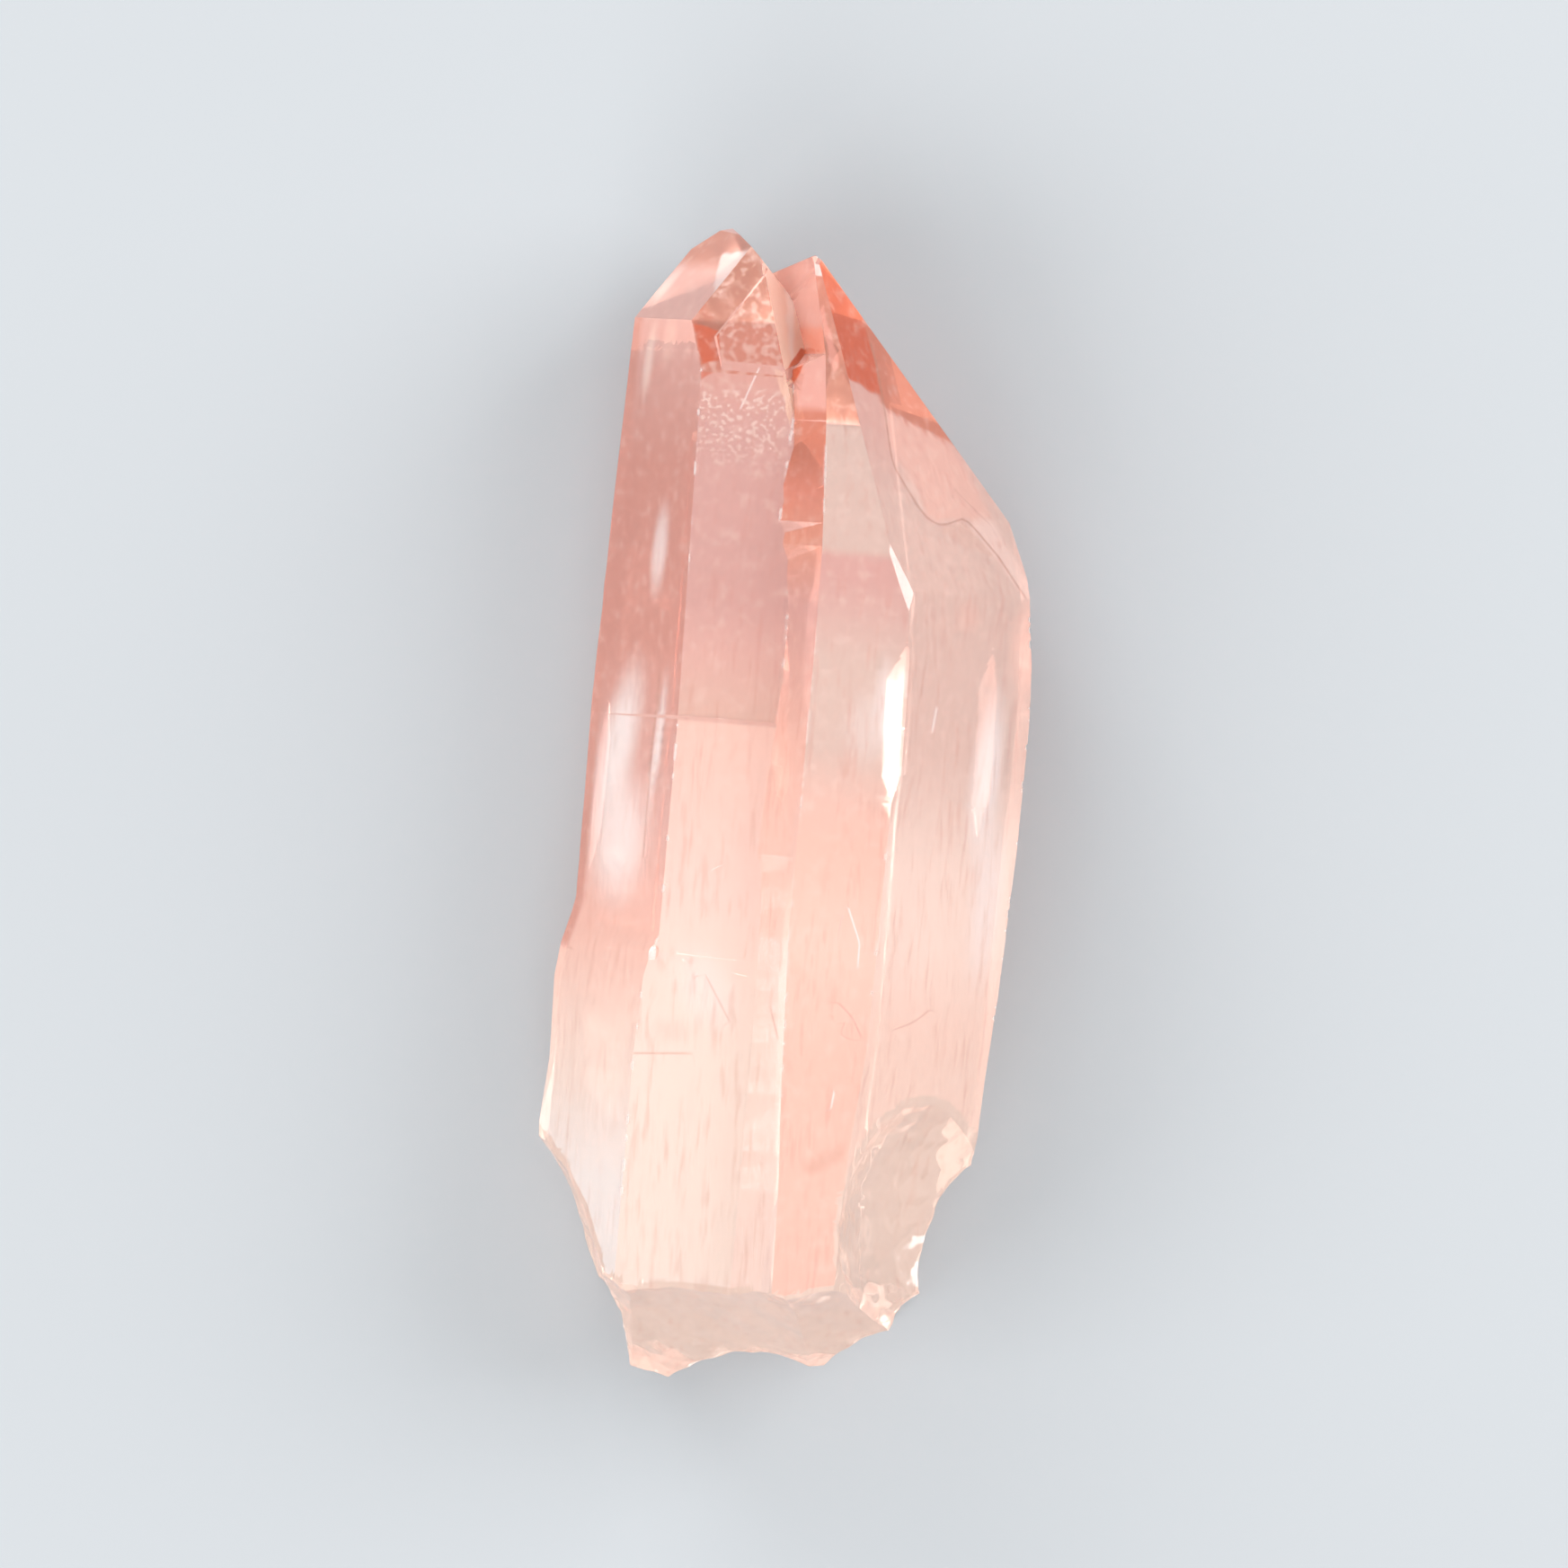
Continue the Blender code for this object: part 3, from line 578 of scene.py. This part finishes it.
def crystal_mesh():
    """The dressed crystal: the refined surface with its relief, and the marks and painted highlights as
    attributes.
    """
    points, faces = refine(*packed_surface())
    number = growth_faces(points, faces)
    worn = wear(points)
    fields = colour_fields(points, faces, number)
    mesh = bpy.data.meshes.new("quartz_point")
    mesh.from_pydata(points.tolist(), [], faces.tolist())
    mesh.update()
    normals = np.zeros(len(points) * 3)
    mesh.vertices.foreach_get("normal", normals)
    normals = normals.reshape(-1, 3)
    points = points + normals * relief(points, normals)[:, None]
    low, high = (np.array(OFFSET) + np.array(corner) / MM for corner in (cad_low, cad_high))
    points = (np.clip(points, low, high) - np.array(OFFSET)) * MM
    mesh.vertices.foreach_set("co", points.ravel())
    mesh.update()
    mesh.attributes.new("growth_face", "FLOAT", "FACE").data.foreach_set("value", number)
    mesh.attributes.new("wear", "FLOAT", "POINT").data.foreach_set("value", worn)
    for name, values in fields.items():
        kind, key = ("FLOAT_COLOR", "color") if values.ndim == 3 else ("FLOAT", "value")
        mesh.attributes.new(name, kind, "CORNER").data.foreach_set(key, values.ravel())
    print("quartz mesh:", len(faces), "triangles")
    mesh.shade_smooth()
    mesh.set_sharp_from_angle(angle=SHARP)
    piece = bpy.data.objects.new("quartz_point", mesh)
    bpy.context.scene.collection.objects.link(piece)
    return piece


# --- Material -----------------------------------------------------------------------------------
INDEX = 1.544                   # quartz's index of refraction
PASSED = 0.75                   # share of the light that goes through its surface
BODY_COLOUR, BODY_DENSITY = (0.97, 0.72, 0.62, 1), 15.0     # what its inside absorbs, per metre
MOTTLE = 1.4, 2.0, 0.6          # scale, detail and roughness of the mottling
GRAIN = 1.0, 2.0, 0.7           # the same for the growth streaks
GRAIN_STRETCH = (2.6, 0.35, 2.6)                # they run along the crystal
MILKY, STREAKED = 0.2, 0.3      # the most milk that mottling adds, and the most salmon that streaks do
VEILED = 0.5, 0.75              # noise at which mottling and streaks start, and are whole
SMOOTHEST, ROUGHEST = 0.06, 0.16
ROUGHENED = 0.3, 0.7            # mottling at which each of them holds
TIP_ROUGH, INNER_ROUGH, WORN_ROUGH = 0.05, 0.4, 0.4         # added there
RAMPED = ("front_left", "wall")                 # growth faces whose colour changes sharply along y


class Graph:
    """Short names for the shader nodes used here."""

    def __init__(self, material):
        material.use_nodes = True
        self.tree = material.node_tree
        self.shader = self.tree.nodes["Principled BSDF"]
        self.output = self.tree.nodes["Material Output"]

    def node(self, kind, inputs=None, **settings):
        made = self.tree.nodes.new(kind)
        for key, value in settings.items():
            setattr(made, key, value)
        for key, value in (inputs or {}).items():
            self.put(made.inputs[key], value)
        return made

    def put(self, socket, value):
        if isinstance(value, bpy.types.NodeSocket):
            self.tree.links.new(value, socket)
        else:
            socket.default_value = value

    def math(self, operation, *values):
        return self.node("ShaderNodeMath", dict(enumerate(values)), operation=operation).outputs[0]

    def vector(self, operation, *values):
        return self.node("ShaderNodeVectorMath", dict(enumerate(values)), operation=operation).outputs[0]

    def ramp(self, value, low, high, start=0.0, end=1.0):
        """Smoothly from start to end while value goes from low to high."""
        return self.node("ShaderNodeMapRange", {0: value, 1: low, 2: high, 3: start, 4: end},
                         interpolation_type="SMOOTHSTEP").outputs[0]

    def mix(self, factor, first, second):
        made = self.node("ShaderNodeMix", data_type="RGBA")
        self.put(made.inputs[0], factor)
        self.put(made.inputs[6], first)
        self.put(made.inputs[7], second)
        return made.outputs[2]

    def noise(self, place, scale, detail, rough):
        return self.node("ShaderNodeTexNoise", {"Vector": place, "Scale": scale, "Detail": detail,
                                                "Roughness": rough}).outputs[0]

    def stops(self, value, pairs):
        """A colour ramp from (position, colour) pairs."""
        ramp = self.node("ShaderNodeValToRGB", {0: value})
        points = ramp.color_ramp.elements
        points.remove(points[0])
        points[0].position, points[0].color = pairs[0]
        for position, shade in pairs[1:]:
            points.new(position).color = shade
        return ramp.outputs["Color"]

    def attribute(self, name):
        return self.node("ShaderNodeAttribute", attribute_name=name)

    def field(self, name):
        """An attribute of single values."""
        return self.attribute(name).outputs["Fac"]

    def marked(self, colour, name, edge=None):
        """The colour with the marks of one attribute on it, where edge isn't 0."""
        mark = self.attribute(name)
        strength = mark.outputs["Alpha"]
        if edge is not None:
            strength = self.math("MULTIPLY", edge, strength)
        return self.mix(strength, colour, mark.outputs["Color"])


def paint(name):
    """A colour of the palette, with an alpha of 1."""
    return (*PALETTE[name], 1)


def from_face(g, face, name):
    """1 on this growth face and those listed after it, 0 on the others."""
    return g.math("GREATER_THAN", face, list(GROWTH_FACES).index(name) - 0.5)


def base_colour(g, place, face):
    """The colour along each growth face. Sharp changes are worked out here, finer than the mesh."""
    colour = g.attribute("base").outputs["Color"]
    y = g.node("ShaderNodeSeparateXYZ", {0: place}).outputs[1]
    height = g.node("ShaderNodeMapRange", {0: y, 1: LOW_END, 2: HIGH_END}).outputs[0]
    for name in RAMPED:
        shades = g.stops(height, [((at - LOW_END) / (HIGH_END - LOW_END), paint(shade))
                                  for at, shade in ALONG[name]])
        here = g.math("COMPARE", face, float(list(GROWTH_FACES).index(name)), 0.4)
        colour = g.mix(here, colour, shades)
    return colour


def quartz():
    """Clear pink quartz: milky, pink and rust zones, marks, painted highlights, mottling and streaks."""
    material = bpy.data.materials.new("clear_pink_quartz")
    g = Graph(material)
    place = g.vector("MULTIPLY_ADD", g.node("ShaderNodeTexCoord").outputs["Object"],
                     (1 / MM,) * 3, tuple(OFFSET))
    face, worn = g.field("growth_face"), g.field("wear")
    mottle = g.noise(place, *MOTTLE)
    grain = g.noise(g.vector("MULTIPLY", place, GRAIN_STRETCH), *GRAIN)
    tips, inner = from_face(g, face, "tip_left"), from_face(g, face, "tip_inner")

    colour = base_colour(g, place, face)
    for name in ("patch", "over"):
        colour = g.marked(colour, name, g.ramp(g.field(name + "_depth"), -1.0, 1.0))
    # painted highlights over the colour
    colour = g.marked(colour, "painted_highlight")
    beside = g.math("ABSOLUTE", g.field("line_gap"))
    colour = g.marked(colour, "line", g.ramp(beside, 0.5, 1.5, 1.0, 0.0))
    colour = g.mix(g.field("frost"), colour, paint("milk"))
    colour = g.mix(g.ramp(mottle, *VEILED, 0.0, MILKY), colour, paint("milk"))
    # no streaks on the tips
    streaks = g.math("MULTIPLY_ADD", tips, -STREAKED, g.ramp(grain, *VEILED, 0.0, STREAKED))
    colour = g.mix(streaks, colour, paint("salmon"))
    colour = g.mix(worn, colour, paint("white"))
    g.put(g.shader.inputs["Base Color"], colour)

    rough = g.ramp(mottle, *ROUGHENED, SMOOTHEST, ROUGHEST)
    for where, more in ((tips, TIP_ROUGH), (inner, INNER_ROUGH), (worn, WORN_ROUGH)):
        rough = g.math("MULTIPLY_ADD", where, more, rough)
    g.put(g.shader.inputs["Roughness"], rough)
    g.shader.inputs["IOR"].default_value = INDEX
    g.shader.inputs["Transmission Weight"].default_value = PASSED
    absorb = g.node("ShaderNodeVolumeAbsorption", {"Color": BODY_COLOUR, "Density": BODY_DENSITY})
    g.put(g.output.inputs["Volume"], absorb.outputs[0])
    return material


crystal = crystal_mesh()
crystal.data.materials.append(quartz())
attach(crystal, "root")
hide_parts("crystal")


# --- Floor, light, camera: places and sizes in metres ---------------------------------------------
FLOOR_HALF = 0.9
FLOOR_BELOW = 0.00005                           # the floor lies this far under the crystal
FLOOR_COLOUR = (0.237, 0.249, 0.260, 1)
FLOOR_ROUGH = 0.9
# Lamps: where they hang, the side of their square, and their power in watts.
LAMPS = {
    "key": ((-0.34, -0.16, 0.26), 0.30, 1.9),
    "fill": ((0.32, 0.14, 0.22), 0.30, 2.65),
    "base": ((-0.04, -0.38, 0.26), 0.30, 1.8),
    "top": ((-0.22, 0.34, 0.19), 0.25, 1.8),
}
SKY = 1.2                                       # strength of the white light from all round
NEAREST, FURTHEST = 0.01, 10.0                  # that the camera sees


def floor():
    half = FLOOR_HALF
    mesh = bpy.data.meshes.new("floor")
    mesh.from_pydata([(-half, -half, 0), (half, -half, 0), (half, half, 0), (-half, half, 0)], [],
                     [(0, 1, 2, 3)])
    plane = bpy.data.objects.new("floor", mesh)
    plane.location.z = -FLOOR_BELOW
    bpy.context.scene.collection.objects.link(plane)
    material = bpy.data.materials.new("floor")
    g = Graph(material)
    g.shader.inputs["Base Color"].default_value = FLOOR_COLOUR
    g.shader.inputs["Roughness"].default_value = FLOOR_ROUGH
    g.shader.inputs["Specular IOR Level"].default_value = 0.0
    plane.data.materials.append(material)


def area(name, place, size, power):
    """A square lamp that faces the crystal."""
    light = bpy.data.lights.new(name, "AREA")
    light.size = size
    light.energy = power
    lamp = bpy.data.objects.new(name, light)
    lamp.location = place
    lamp.rotation_euler = (-Vector(place)).to_track_quat("-Z", "Y").to_euler()
    bpy.context.scene.collection.objects.link(lamp)


def sky():
    world = bpy.data.worlds.new("studio")
    world.use_nodes = True
    background = world.node_tree.nodes["Background"]
    background.inputs["Color"].default_value = (1, 1, 1, 1)
    background.inputs["Strength"].default_value = SKY
    bpy.context.scene.world = world


def camera():
    """Straight above the crystal, turned so that it leans as in the picture."""
    eye = bpy.data.cameras.new("camera")
    eye.sensor_width = SENSOR
    eye.lens = SENSOR * (CAMERA_HEIGHT - REFERENCE_HEIGHT) / (PICTURE * MM_PER_PIXEL)
    eye.clip_start = NEAREST
    eye.clip_end = FURTHEST
    stand = bpy.data.objects.new("camera", eye)
    stand.location = (-OFFSET.x * MM, -OFFSET.y * MM, CAMERA_HEIGHT * MM)
    stand.rotation_euler = (0.0, 0.0, LEAN)
    bpy.context.scene.collection.objects.link(stand)
    bpy.context.scene.camera = stand


floor()
for lamp_name, lamp_settings in LAMPS.items():
    area(lamp_name, *lamp_settings)
sky()
camera()
bpy.context.scene.view_settings.view_transform = "Standard"
